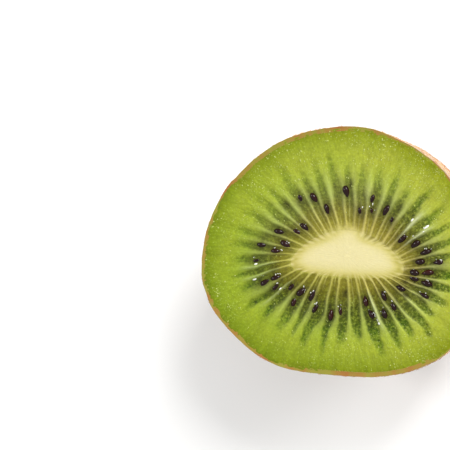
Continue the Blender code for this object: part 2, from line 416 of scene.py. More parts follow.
def cut_pattern(shares, reaches):
    """What the cut holds at each point: masks from 0 to 1 for the chambers and the pale lines."""
    number, across = chamber_grid(shares, reaches)
    from_wall = 1.0 - np.abs(across)
    draw = np.random.default_rng(CHAMBER_DRAW)
    start = draw.uniform(*CHAMBER_START, CHAMBERS)[number]
    end = draw.uniform(*CHAMBER_END, CHAMBERS)[number]
    broad = np.maximum(np.cos(2.0 * math.pi * (shares - BROAD_SIDE)), 0.0) ** 1.5
    faint = np.maximum(np.cos(2.0 * math.pi * (shares - FAINT_SIDE)), 0.0)
    end = end + FAINT_EXTRA * faint
    strength = draw.uniform(0.85, 1.0, CHAMBERS)[number] * (1.0 - FAINT_LOSS * faint)
    other_start = draw.uniform(*CHAMBER_START, CHAMBERS)[number]
    line_place = draw.uniform(-0.3, 0.3, CHAMBERS)[number]
    line_strength = draw.uniform(0.55, 1.0, CHAMBERS)[number]
    line_end = draw.uniform(0.16, 0.46, CHAMBERS)[number]
    split = (draw.uniform(0.0, 1.0, CHAMBERS) < SPLIT_CHAMBERS)[number]
    wall_number = np.where(across > 0, (number + 1) % CHAMBERS, number)
    wall_strength = draw.uniform(0.6, 1.0, CHAMBERS)[wall_number]

    # The chamber narrows and frays towards its outer end
    spreads_from = WALL_SPREADS_FROM + BROAD_TO * broad
    far = np.clip((reaches - spreads_from) / (end - spreads_from), 0.0, 1.0)
    ragged = patches(shares, reaches, 6 * CHAMBERS, 22, 53)
    half = (1.0 - WALL_SHARE) * (1.0 - 0.78 * far) * (1.0 + 0.32 * ragged * smoothstep(0.1, 0.7, far))
    soft = 0.09 + 0.24 * far
    chamber = 1.0 - smoothstep(half - soft, half + soft, np.abs(across))
    # It starts at the core with one rounded tip, or with two where a line splits it
    side = np.where(across < line_place, -1.0, 1.0)
    tip_middle = np.where(split, 0.5 * (line_place + side), 0.0)
    tip_half = np.where(split, 0.5 * (1.0 - side * line_place), 1.0)
    off_middle = np.clip(np.abs(across - tip_middle) / tip_half, 0.0, 1.0)
    tip = np.where(split & (side > 0), other_start, start)
    tip = tip + FINGER_TIP * tip_half * (1.0 - np.sqrt(1.0 - 0.97 * off_middle**2))
    chamber *= strength * smoothstep(tip - 0.004, tip + 0.012, reaches)
    # Its middle glows near the core, and streaks run through its outer part
    glow = 0.22 + 0.23 * smoothstep(0.02, 0.1, reaches)
    chamber *= 1.0 - glow * (1.0 - off_middle**2) * (1.0 - smoothstep(0.07, 0.24, reaches))
    chamber *= 1.0 - smoothstep(0.62, 1.02, far)
    streaks = patches(shares, reaches, 9 * CHAMBERS, 12, 57)
    chamber *= 1.0 - 0.3 * smoothstep(-0.3, 0.8, streaks) * smoothstep(0.1, 0.7, far)

    middle_line = bell(across, line_place, MIDDLE_LINE_WIDTH) * line_strength * split
    middle_line *= plateau(-0.03, 0.0, 0.4 * line_end, line_end, reaches)
    root = 1.0 - smoothstep(0.0, 0.085, reaches)
    arch_side = np.cos(2.0 * math.pi * (shares - CORE_PEAK))
    wall_width = WALL_WIDTH + (ROOT_WIDTH[0] + ROOT_WIDTH[1] * arch_side) * root
    wall_line = bell(from_wall, 0.0, wall_width) * np.maximum(wall_strength, (0.75 + 0.2 * arch_side) * root)
    wall_line *= plateau(-0.04, 0.0, 0.4, 0.8, reaches)
    proud = np.isin(wall_number, PROUD_WALLS) * bell(from_wall, 0.0, PROUD_WIDTH)
    proud = proud * plateau(0.1, 0.22, 0.4, 0.6, reaches)
    peak = bell(shares, CORE_PEAK, PEAK_WIDTH) * (1.0 - smoothstep(-0.012, 0.02, reaches))
    line = np.maximum(np.maximum(wall_line, 0.8 * middle_line), 0.9 * peak)
    return {"chamber": chamber, "line": line, "proud": proud}


def seed_places():
    """Share round, reach, turn and size of each seed: up to two in each chamber."""
    draw = random.Random(SEED_DRAW)
    places = []
    for chamber in range(CHAMBERS):
        for low, high in draw.choice(SEED_BANDS):
            wander = draw.uniform(-SEED_WANDER, SEED_WANDER)
            share = FIRST_WALL + (chamber + 0.5 + wander) / CHAMBERS
            reach = draw.uniform(low, high)
            turn = math.radians(draw.uniform(-SEED_TURN, SEED_TURN))
            size = 1.0 + draw.uniform(-SEED_VARIATION, SEED_VARIATION)
            places.append((share, reach, turn, size))
    return places


def cut_point(share, reach):
    """The plan point at a share round and a reach out, and the heading out from the core."""
    inner = core_edge(np.array([share]))[0]
    outer = face_edge(np.array([share]))[0]
    heading = math.atan2(outer[1] - inner[1], outer[0] - inner[0])
    return inner + (outer - inner) * reach, heading


def ellipse_falloff(points, place, length, width):
    """1 at a seed's middle and less away from it, as wide as an ellipse of that size."""
    share, reach, turn, size = place
    middle, heading = cut_point(share, reach)
    heading += turn
    offset = points - middle
    ahead = offset[..., 0] * math.cos(heading) + offset[..., 1] * math.sin(heading)
    aside = -offset[..., 0] * math.sin(heading) + offset[..., 1] * math.cos(heading)
    squared = (ahead / (0.5 * length * size)) ** 2 + (aside / (0.5 * width * size)) ** 2
    return np.exp(-squared)


def dim_places():
    """Seeds below the cut, that show as dim spots."""
    draw = random.Random(DIM_DRAW)
    places = []
    for _ in range(DIM_SPOTS):
        share = FIRST_WALL + (draw.randrange(CHAMBERS) + 0.5 + draw.uniform(-0.2, 0.2)) / CHAMBERS
        places.append((share, draw.uniform(0.14, 0.46), draw.uniform(-0.3, 0.3), draw.uniform(0.7, 1.0)))
    return places


def seed_shade(points, look):
    """How much the flesh is darkened by the seeds on it and below it."""
    shade = np.zeros(points.shape[:-1])
    for place in seed_places():
        near = ellipse_falloff(points, place, 1.7 * look.length, 1.9 * look.width)
        shade = np.maximum(shade, 0.62 * near)
    for number, place in enumerate(dim_places()):
        spot = ellipse_falloff(points, place, look.length, look.width)
        shade = np.maximum(shade, (0.45 + 0.35 * (number % 2)) * spot)
    return shade


def seed_swell(points, look):
    """How much the flesh swells round each seed, from 0 to 1."""
    swell = np.zeros(points.shape[:-1])
    for place in seed_places():
        wide = ellipse_falloff(points, place, 1.9 * look.length, 2.1 * look.width)
        tight = ellipse_falloff(points, place, 1.1 * look.length, 1.1 * look.width)
        swell = np.maximum(swell, wide - tight)
    return swell


# Meshes


def wrap_grid(name, rings, reaches, values):
    """A grid wrapped through rings of points and filled at both ends.

    reaches has the second value of the UV map for each ring, and values the numbers that
    the material reads, by name, each an array of rings by columns.
    """
    rows, columns = rings.shape[:2]
    shape = bmesh.new()
    around = shape.loops.layers.uv.new("around")
    bmesh.ops.create_grid(shape, x_segments=columns, y_segments=rows - 1)
    layers = [(shape.verts.layers.float.new(key), field) for key, field in values.items()]
    for index, vert in enumerate(shape.verts):
        row, column = divmod(index, columns + 1)
        vert.co = rings[row, column % columns]
        for layer, field in layers:
            vert[layer] = field[row, column % columns]
    for face in shape.faces:
        face.smooth = True
        for loop in face.loops:
            row, column = divmod(loop.vert.index, columns + 1)
            loop[around].uv = (column / columns, reaches[row])
    seam = [vert for vert in shape.verts if vert.index % (columns + 1) in (0, columns)]
    bmesh.ops.remove_doubles(shape, verts=seam, dist=WELD)
    ends = [edge for edge in shape.edges if edge.is_boundary]
    bmesh.ops.holes_fill(shape, edges=ends, sides=0)
    bmesh.ops.recalc_face_normals(shape, faces=shape.faces)
    for edge in shape.edges:
        edge.smooth = edge.calc_face_angle(0.0) < SHARP
    return mesh_piece(name, shape)


def mesh_piece(name, shape, smooth=False):
    if smooth:
        for face in shape.faces:
            face.smooth = True
    mesh = bpy.data.meshes.new(name)
    shape.to_mesh(mesh)
    shape.free()
    return add_object(name, mesh)


def add_object(name, data):
    made = bpy.data.objects.new(name, data)
    bpy.context.scene.collection.objects.link(made)
    return made


def finish_piece(piece, material):
    piece.data.materials.clear()
    piece.data.materials.append(material)
    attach(piece, "root")


# Shader helpers


def new_material(name):
    material = bpy.data.materials.new(name)
    material.use_nodes = True
    tree = material.node_tree
    return material, tree, tree.nodes["Principled BSDF"]


def set_sockets(node, values):
    """Sets sockets by name or number, each to a constant or to another node's output."""
    for key, value in values.items():
        if isinstance(value, bpy.types.NodeSocket):
            node.id_data.links.new(value, node.inputs[key])
        else:
            node.inputs[key].default_value = value


def add_node(tree, kind, values=None, **settings):
    node = tree.nodes.new(kind)
    for key, value in settings.items():
        setattr(node, key, value)
    set_sockets(node, values or {})
    return node


def mix_colours(tree, share, first, second, blend="MIX"):
    """A mix of two colours, by a share of the second. Sockets 6 and 7 are the colours."""
    first, second = (c if isinstance(c, bpy.types.NodeSocket) else (*c[:3], 1.0) for c in (first, second))
    values = {0: share, 6: first, 7: second}
    return add_node(tree, "ShaderNodeMix", values, data_type="RGBA", blend_type=blend).outputs[2]


def paint(tree, colour, *layers):
    """A colour with others over it. Each layer is its share and its colour."""
    for share, layer in layers:
        colour = mix_colours(tree, share, colour, layer)
    return colour


def shaded(tree, colour, value, darkest, brightest):
    """A colour made darker and brighter by a noise."""
    return mix_colours(tree, 1.0, colour, remap(tree, value, 0.3, 0.7, darkest, brightest), "MULTIPLY")


def read_number(tree, name):
    return add_node(tree, "ShaderNodeAttribute", attribute_name=name).outputs["Fac"]


def colour_ramp(tree, share, *stops):
    """A colour ramp from (place, colour) stops."""
    node = add_node(tree, "ShaderNodeValToRGB", {0: share})
    elements = node.color_ramp.elements
    while len(elements) < len(stops):
        elements.new(0.5)
    for element, (place, colour) in zip(elements, stops):
        element.position = place
        element.color = (*colour[:3], 1.0)
    return node.outputs["Color"]


def remap(tree, value, low, high, new_low=0.0, new_high=1.0):
    values = {"Value": value, "From Min": low, "From Max": high, "To Min": new_low, "To Max": new_high}
    return add_node(tree, "ShaderNodeMapRange", values).outputs["Result"]


def noise(tree, vector, scale, detail, roughness=0.5):
    values = {"Vector": vector, "Scale": scale, "Detail": detail, "Roughness": roughness}
    return add_node(tree, "ShaderNodeTexNoise", values).outputs["Fac"]


def noise_range(tree, vector, scale, detail, low, high, new_low=0.0, new_high=1.0, roughness=0.5):
    """A noise, with its values from low to high spread over a new range."""
    return remap(tree, noise(tree, vector, scale, detail, roughness), low, high, new_low, new_high)


def add(tree, first, second):
    return add_node(tree, "ShaderNodeMath", {0: first, 1: second}, operation="ADD").outputs[0]


def times(tree, first, second):
    return add_node(tree, "ShaderNodeMath", {0: first, 1: second}, operation="MULTIPLY").outputs[0]


def coordinates(tree):
    return add_node(tree, "ShaderNodeTexCoord").outputs["Object"]


def part_of(tree, vector, axis):
    return add_node(tree, "ShaderNodeSeparateXYZ", {0: vector}).outputs[axis]


def distance_along(tree, place, direction):
    return add_node(tree, "ShaderNodeVectorMath", {0: place, 1: direction}, operation="DOT_PRODUCT").outputs["Value"]


def own_map(tree):
    """The piece's own map: its first value runs round, its second outwards."""
    return add_node(tree, "ShaderNodeUVMap", uv_map="around").outputs["UV"]


def around_map(tree, across, outward):
    """The piece's own map, stretched."""
    values = {"Vector": own_map(tree), "Scale": (across, outward, 1.0)}
    return add_node(tree, "ShaderNodeMapping", values).outputs["Vector"]


def add_bump(tree, shader, heights, distance, strength, below=None):
    values = {"Height": heights, "Distance": distance, "Strength": strength}
    if below is not None:
        values["Normal"] = below
    bump = add_node(tree, "ShaderNodeBump", values).outputs["Normal"]
    set_sockets(shader, {"Normal": bump})
    return bump


def let_light_in(shader, weight, radius, scale):
    set_sockets(shader, {"Subsurface Weight": weight, "Subsurface Radius": radius, "Subsurface Scale": scale})


# Materials


def flesh_material(flesh, core):
    """Wet flesh: pale outside, dark green in the chambers, cream where the walls meet the core, painted lighter on
    the key light's side and with painted sparkles.
    """
    material, tree, shader = new_material("wet_flesh")
    place = coordinates(tree)
    reach = part_of(tree, own_map(tree), "Y")
    wandering = add(tree, reach, noise_range(tree, place, 260.0, 2.0, 0.3, 0.7, -0.03, 0.03))
    tissue = colour_ramp(
        tree, wandering,
        (0.0, core.edge_colour), (0.04, screen(178, 168, 74)), (0.12, screen(157, 148, 58)),
        (0.24, screen(137, 134, 66)), (0.36, screen(142, 148, 72)), (0.48, screen(158, 169, 70)),
        (0.60, screen(170, 182, 66)), (0.72, flesh.outer_colour), (0.82, screen(162, 174, 56)),
        (0.91, screen(147, 160, 40)), (0.97, screen(133, 145, 33)),
    )
    gel = colour_ramp(
        tree, wandering,
        (0.0, screen(134, 122, 28)), (0.03, screen(116, 106, 14)), (0.10, screen(116, 107, 14)),
        (0.20, screen(116, 111, 26)), (0.32, flesh.chamber_colour), (0.44, screen(90, 102, 28)),
        (0.56, flesh.tip_colour), (0.70, screen(112, 136, 20)),
    )
    pale = colour_ramp(
        tree, reach,
        (0.0, screen(229, 217, 142)), (0.06, screen(216, 203, 118)), (0.2, screen(204, 198, 118)),
        (0.35, flesh.line_colour), (0.7, screen(184, 198, 80)),
    )
    pools = noise_range(tree, place, 640.0, 3.0, 0.46, 0.66, 0.0, 0.7, roughness=0.6)
    gel_grain = noise(tree, place, 1900.0, 3.0, 0.7)
    grainy = remap(tree, reach, 0.06, 0.3, 0.4, 1.0)
    gel = paint(
        tree, gel,
        (times(tree, pools, remap(tree, reach, 0.16, 0.34)), screen(66, 78, 22)),
        (times(tree, remap(tree, gel_grain, 0.5, 0.66, 0.0, 0.75), grainy), screen(156, 166, 66)),
        (times(tree, remap(tree, gel_grain, 0.47, 0.34, 0.0, 0.7), grainy), screen(52, 62, 12)),
    )
    colour = paint(
        tree, tissue,
        (read_number(tree, "chamber"), gel),
        (times(tree, read_number(tree, "line"), 0.75), pale),
        # The proud walls are painted paler: partly their own pale tissue, partly a painted highlight on their wet
        # crests.
        (times(tree, read_number(tree, "proud"), 0.7), screen(206, 214, 160)),
    )

    fibres = noise(tree, around_map(tree, 420.0, 9.0), 1.0, 3.0)
    cells = noise(tree, place, 1900.0, 4.0, 0.65)
    colour = shaded(tree, shaded(tree, colour, fibres, 0.9, 1.08), cells, 0.86, 1.12)
    # Painted highlights: pale specks over the outer flesh stand in for tiny glints of light on the wet cells.
    outer = remap(tree, reach, 0.45, 0.65, 0.35, 1.0)
    outer = times(tree, outer, noise_range(tree, place, 130.0, 1.0, 0.35, 0.65, 0.45, 1.15))
    painted_sparkles = times(tree, noise_range(tree, place, 3600.0, 1.0, 0.6, 0.76, 0.0, 0.52), outer)
    colour = mix_colours(tree, painted_sparkles, colour, screen(214, 224, 140))
    greener = mix_colours(tree, 1.0, colour, (0.80, 0.97, 0.62), "MULTIPLY")
    colour = mix_colours(tree, noise_range(tree, place, 190.0, 3.0, 0.35, 0.7, 0.0, 0.3), colour, greener)
    colour = shaded(tree, colour, noise(tree, around_map(tree, 95.0, 1.2), 1.0, 2.0), 0.92, 1.07)
    # Painted light and shade: the cut is tinted paler and yellower towards the key light's side, and darker and
    # greener on the far side.
    painted_light_side = remap(tree, distance_along(tree, place, (0.91, 0.42, 0.0)), -0.024, 0.026)
    tint = mix_colours(tree, painted_light_side, (0.79, 0.87, 0.52), (1.10, 1.02, 1.32))
    colour = mix_colours(tree, 1.0, colour, tint, "MULTIPLY")
    shade = times(tree, read_number(tree, "shade"), remap(tree, cells, 0.3, 0.7, 1.1, 0.8))
    colour = mix_colours(tree, shade, colour, flesh.shade_colour)

    bump = add_bump(tree, shader, cells, 0.09 * MM, 0.8)
    add_bump(tree, shader, fibres, 0.05 * MM, 0.6, bump)
    set_sockets(shader, {"Base Color": colour, "Roughness": remap(tree, cells, 0.3, 0.7, 0.3, 0.46)})
    set_sockets(shader, {"IOR": 1.33, "Specular IOR Level": 0.3})
    let_light_in(shader, 0.12, (1.0, 1.0, 0.35), 0.5 * MM)
    return material


def core_material(core):
    """Smooth cream, yellower towards the edge, with faint fibres."""
    material, tree, shader = new_material("cream_core")
    place = coordinates(tree)
    inwards = remap(tree, read_number(tree, "inwards"), -DARK_EDGE, CREAM_DEPTH)
    drift = noise_range(tree, around_map(tree, 90.0, 1.5), 1.0, 2.0, 0.3, 0.7, -0.064, 0.064)
    drift = times(tree, drift, remap(tree, inwards, 0.29, 0.64, 1.0, 0.0))
    colour = colour_ramp(
        tree, add(tree, inwards, drift),
        (0.0, screen(158, 148, 60)), (0.286, core.edge_colour), (0.381, screen(210, 199, 118)),
        (0.476, screen(220, 209, 136)), (0.571, screen(225, 214, 148)), (0.714, screen(229, 218, 158)),
        (1.0, core.middle_colour),
    )
    grain = noise(tree, place, 1500.0, 3.0)
    colour = shaded(tree, colour, noise(tree, around_map(tree, 150.0, 3.0), 1.0, 3.0), 0.985, 1.01)
    colour = shaded(tree, colour, grain, 0.97, 1.02)
    gel_grain = noise_range(tree, place, 1900.0, 3.0, 0.4, 0.6, roughness=0.7)
    colour = paint(
        tree, colour,
        (read_number(tree, "chamber"), mix_colours(tree, gel_grain, screen(134, 124, 26), screen(112, 102, 12))),
        (times(tree, read_number(tree, "roots"), 0.75), screen(229, 217, 148)),
    )
    add_bump(tree, shader, grain, 0.04 * MM, 0.5)
    set_sockets(shader, {"Base Color": colour, "Roughness": 0.42, "IOR": 1.37})
    let_light_in(shader, 0.15, (1.0, 0.8, 0.4), 0.7 * MM)
    return material


def seed_material(seed):
    """Glossy brown-black, some seeds redder."""
    material, tree, shader = new_material("glossy_seed")
    place = coordinates(tree)
    streaks = noise_range(tree, place, 900.0, 3.0, 0.35, 0.65, 0.3, 1.0)
    tint = times(tree, read_number(tree, "tint"), streaks)
    colour = mix_colours(tree, tint, seed.dark_colour, seed.light_colour)
    add_bump(tree, shader, noise(tree, place, 3500.0, 2.0), 0.03 * MM, 0.4)
    set_sockets(shader, {"Base Color": colour, "Roughness": 0.15, "IOR": 1.36, "Specular IOR Level": 0.5})
    return material


def juice_material(juice):
    """Wet beads, paler than the flesh below them as a painted sparkle, and the glint beads near white as painted
    highlights.
    """
    material, tree, shader = new_material("juice")
    colour = paint(
        tree, juice.colour,
        (noise(tree, coordinates(tree), 300.0, 2.0), screen(188, 200, 96)),
        # Painted highlight: the glint beads are near white.
        (read_number(tree, "painted_glint"), screen(250, 250, 240)),
    )
    set_sockets(shader, {"Base Color": colour, "Roughness": 0.07, "IOR": 1.36})
    set_sockets(shader, {"Coat Weight": 1.0, "Coat Roughness": 0.03, "Coat IOR": 1.4})
    return material


def painted_highlight_side(tree, place):
    """1 near the cut on the side towards the key light, where the painted highlight goes, 0 elsewhere."""
    towards = remap(tree, distance_along(tree, place, (0.62, 0.78, 0.0)), 0.014, 0.026)
    height = part_of(tree, place, "Z")
    high = remap(tree, height, CUT_HEIGHT - 10.0 * MM, CUT_HEIGHT - 3.0 * MM)
    high = times(tree, high, remap(tree, height, CUT_HEIGHT - 2.0 * MM, CUT_HEIGHT, 1.0, 0.0))
    return times(tree, towards, high)


def skin_material(skin):
    """Thin dull brown skin: tan with olive patches, dark flecks and pale dots, and a painted highlight near the cut
    on the key light's side.
    """
    material, tree, shader = new_material("brown_skin")
    place = coordinates(tree)
    mottle = noise(tree, place, 800.0, 4.0, 0.65)
    grain = noise(tree, place, 2400.0, 3.0, 0.6)
    colour = paint(
        tree, skin.tan_colour,
        (noise_range(tree, place, 75.0, 3.0, 0.4, 0.6, roughness=0.6), skin.olive_colour),
        (noise_range(tree, place, 41.0, 2.0, 0.48, 0.66, 0.0, 0.7), screen(160, 92, 46)),
        (remap(tree, mottle, 0.5, 0.68, 0.0, 0.7), skin.dark_colour),
        (remap(tree, mottle, 0.48, 0.32, 0.0, 0.6), screen(192, 131, 72)),
    )
    below_cut = remap(tree, part_of(tree, place, "Z"), CUT_HEIGHT - 1.8 * MM, CUT_HEIGHT - 0.2 * MM, 0.0, 0.8)
    broken = noise_range(tree, around_map(tree, 26.0, 1.0), 1.0, 3.0, 0.38, 0.56, roughness=0.6)
    colour = paint(
        tree, shaded(tree, colour, grain, 0.78, 1.17),
        # Painted highlight: the skin near the cut on the key light's side is painted paler.
        (times(tree, painted_highlight_side(tree, place), 0.6), screen(206, 176, 124)),
        (below_cut, screen(140, 84, 40)),
        (read_number(tree, "rim"), mix_colours(tree, broken, skin.rim_colour, screen(154, 148, 56))),
        (read_number(tree, "scar"), screen(104, 72, 46)),
    )
    leather = add(tree, times(tree, mottle, 0.6), times(tree, grain, 0.4))
    add_bump(tree, shader, leather, 0.08 * MM, 0.7)
    set_sockets(shader, {"Base Color": colour, "Roughness": remap(tree, mottle, 0.3, 0.7, 0.42, 0.6)})
    set_sockets(shader, {"Specular IOR Level": 0.3, "Sheen Weight": 0.9, **SHEEN})
    return material


def hair_material(skin):
    """Golden brown hairs, some paler and some redder, and a painted highlight near the cut on the key light's side.
    """
    material, tree, shader = new_material("skin_hairs")
    place = coordinates(tree)
    colour = paint(
        tree, skin.hair_colour,
        (noise_range(tree, place, 700.0, 1.0, 0.35, 0.65), screen(208, 124, 66)),
        (noise_range(tree, place, 420.0, 1.0, 0.52, 0.7, 0.0, 0.8), screen(248, 200, 138)),
        # Painted highlight: the hairs near the cut on the key light's side are painted paler.
        (times(tree, painted_highlight_side(tree, place), 0.7), screen(246, 218, 172)),
    )
    set_sockets(shader, {"Base Color": colour, "Roughness": 0.55, "Specular IOR Level": 0.3})
    set_sockets(shader, {"Sheen Weight": 0.8, **SHEEN})
    return material


def scar_material():
    """The dry woody button where the stem was."""
    material, tree, shader = new_material("stem_scar")
    pits = noise(tree, coordinates(tree), 1300.0, 5.0, 0.7)
    dry = ((0.3, screen(52, 34, 22)), (0.5, screen(118, 82, 50)), (0.68, screen(176, 138, 92)))
    add_bump(tree, shader, pits, 0.3 * MM, 1.0)
    set_sockets(shader, {"Base Color": colour_ramp(tree, pits, *dry), "Roughness": 0.85})
    return material


def floor_material(studio):
    material, tree, shader = new_material("pale_floor")
    set_sockets(shader, {"Base Color": (*studio.floor_colour, 1.0), "Roughness": 0.7, "Specular IOR Level": 0.2})
    return material


# Operators


class FRUIT_OT_flesh(bpy.types.Operator):
    """Builds the wet cut flesh, with its chambers, walls and a pocket for the core"""

    bl_idname = "fruit.flesh"
    bl_label = "Flesh"

    def execute(self, context):
        look, seed = context.scene.flesh_look, context.scene.seed_look
        shares = np.arange(FACE_COLUMNS) / FACE_COLUMNS
        reaches = np.linspace(0.0, 1.0, FACE_RINGS) ** FACE_RING_SPREAD
        grid = np.meshgrid(shares, reaches)
        inner, outer = core_edge(shares), flesh_edge(shares)
        plan = inner[None] + (outer - inner)[None] * reaches[:, None, None]
        from_cream = cream_shift(shares) / REACH_LENGTH * (1.0 - smoothstep(0.0, 0.25, grid[1]))
        values = cut_pattern(grid[0], grid[1] + from_cream)
        values["shade"] = seed_shade(plan, seed)
        swell = SWELL_HEIGHT * seed_swell(plan, seed)
        face = np.dstack([plan, CUT_HEIGHT + self.relief(look, values, swell, *grid)])

        pocket = np.array(pocket_rings(inner)[::-1][:-1])
        turned_in = level(inset(outer, UNDER_TURN[0]), CUT_HEIGHT - UNDER_TURN[1])
        under = np.array([turned_in] + under_rings(inset(outer, UNDER_INSET), HOLLOW_DEPTH + UNDER_LIFT)[1:])
        rings = np.concatenate([pocket, face, under])
        ring_reaches = np.concatenate([np.zeros(len(pocket)), reaches, np.ones(len(under))])
        unseen = ((len(pocket), len(under)), (0, 0))
        values = {key: np.pad(field, unseen) for key, field in values.items()}
        piece = wrap_grid("cut_flesh", rings, ring_reaches, values)
        finish_piece(piece, flesh_material(look, context.scene.core_look))
        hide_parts("flesh")
        return {"FINISHED"}

    def relief(self, look, values, swell, shares, reaches):
        """Height above the cut at each point."""
        from_core = smoothstep(0.0, 0.08, reaches)
        dips = -look.chamber_depth * values["chamber"] * smoothstep(0.02, 0.12, reaches)
        walls = look.wall_height * values["line"] * from_core + look.proud_height * values["proud"]
        fibres = patches(shares, reaches, 330, 14, 61) * (0.4 + 0.6 * values["chamber"])
        grain = patches(shares, reaches, 520, 64, 67) * (0.5 + 0.5 * smoothstep(0.45, 0.7, reaches))
        fine = look.grain_height * (fibres + 0.8 * grain) * smoothstep(0.0, 0.04, reaches)
        waves = WAVE_HEIGHT * patches(shares, reaches, 9, 3, 71) * smoothstep(0.0, 0.1, reaches)
        edge = -EDGE_DROP * smoothstep(0.975, 1.0, reaches)
        return dips + walls + swell * from_core + fine + waves + edge


def pocket_rings(edge):
    """Rings of the core's shape from the cut down."""
    centre = np.array(CORE_CENTRE)
    rings = []
    for width, depth in rounded_profile(CORE_END_SHARE, CORE_FULLNESS, CORE_RINGS):
        middle = centre * (1.0 - depth * CORE_DEPTH / CUT_HEIGHT)
        rings.append(level(middle + (edge - centre) * width, CUT_HEIGHT - depth * CORE_DEPTH))
    return rings


def dome_ring(edge, width, depth, height):
    """The outside at a depth below the cut: the face's outline, rounder and narrower below."""
    circle = edge / np.hypot(*edge.T)[:, None] * FACE_RADIUS
    rounding = depth**3
    return level((edge * (1.0 - rounding) + circle * rounding) * width, height)


def under_rings(edge, bottom):
    """Rings down the inner side of the skin, to a height above the ground."""
    shrink = 1.0 - bottom / CUT_HEIGHT
    profile = rounded_profile(REST_RADIUS / FACE_RADIUS, DOME_FULLNESS, 16)
    return [dome_ring(edge, width, depth, CUT_HEIGHT * (1.0 - depth * shrink)) for width, depth in profile]


class FRUIT_OT_core(bpy.types.Operator):
    """Builds the pale core, level with the cut"""

    bl_idname = "fruit.core"
    bl_label = "Core"

    def execute(self, context):
        shares = np.arange(CORE_COLUMNS) / CORE_COLUMNS
        tucked = inset(core_edge(shares), -CORE_OVERLAP)
        centre = np.array(CORE_CENTRE) + (0.0, 0.25 * CORE_ARCH)
        steps = 1.0 - (1.0 - np.linspace(0.05, 1.0, CORE_FACE_RINGS)) ** CORE_RING_SPREAD
        rings = []
        for step in steps:
            grain = CORE_GRAIN * patches(shares, np.full_like(shares, step), 150, 22, 83)
            crown = CORE_CROWN * (1.0 - step**2) - CORE_DROP
            rings.append(level(centre + (tucked - centre) * step, CUT_HEIGHT + crown + grain * (step < 1.0)))
        below = pocket_rings(tucked)[1:]
        depths = [np.min(np.linalg.norm(ring[:, None, :2] - tucked[None], axis=2), axis=1) for ring in rings]
        depth = np.array(depths + [np.zeros(CORE_COLUMNS)] * len(below)) / MM
        shift = cream_shift(shares) * (1.0 - smoothstep(1.5, 3.0, depth))
        pattern = cut_pattern(np.broadcast_to(shares, depth.shape), (shift - depth) / REACH_LENGTH)
        rings = np.array(rings + below)
        sideways = np.abs(rings[:, :, 0] - CORE_CENTRE[0]) / CORE_HALF_WIDTH
        inwards = depth * (1.0 - 0.65 * smoothstep(0.62, 0.98, sideways)) - shift
        roots = pattern["line"] * (1.0 - smoothstep(0.0, 1.2, inwards))
        values = {"inwards": inwards, "roots": roots, "chamber": pattern["chamber"]}
        reaches = np.concatenate([steps, np.ones(len(below))])
        piece = wrap_grid("pale_core", rings, reaches, values)
        finish_piece(piece, core_material(context.scene.core_look))
        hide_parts("core")
        return {"FINISHED"}


class FRUIT_OT_seeds(bpy.types.Operator):
    """Builds the seeds, half sunk in the chambers"""

    bl_idname = "fruit.seeds"
    bl_label = "Seeds"

    def execute(self, context):
        look = context.scene.seed_look
        draw = random.Random(SEED_LOOK_DRAW)
        shape = bmesh.new()
        tint = shape.verts.layers.float.new("tint")
        for share, reach, turn, size in seed_places():
            (x, y), heading = cut_point(share, reach)
            place = Matrix.Translation((x, y, CUT_HEIGHT - SEED_SINK - draw.choice(SEED_DEPTHS) * MM))
            place @= Matrix.Rotation(heading + turn, 4, "Z")
            place @= Matrix.Rotation(math.radians(draw.uniform(-9.0, 9.0)), 4, "Y")
            redness = draw.random() ** 8
            slim = draw.uniform(0.8, 1.05)
            for vert in bmesh.ops.create_uvsphere(shape, u_segments=20, v_segments=14, radius=0.5)["verts"]:
                vert[tint] = redness
                narrowing = 1.0 - 0.42 * (0.5 - vert.co.x) ** 2
                vert.co.x *= look.length * size
                vert.co.y *= look.width * size * narrowing * slim
                vert.co.z *= look.height * size * narrowing
                vert.co = place @ vert.co
        finish_piece(mesh_piece("seeds", shape, smooth=True), seed_material(look))
        return {"FINISHED"}


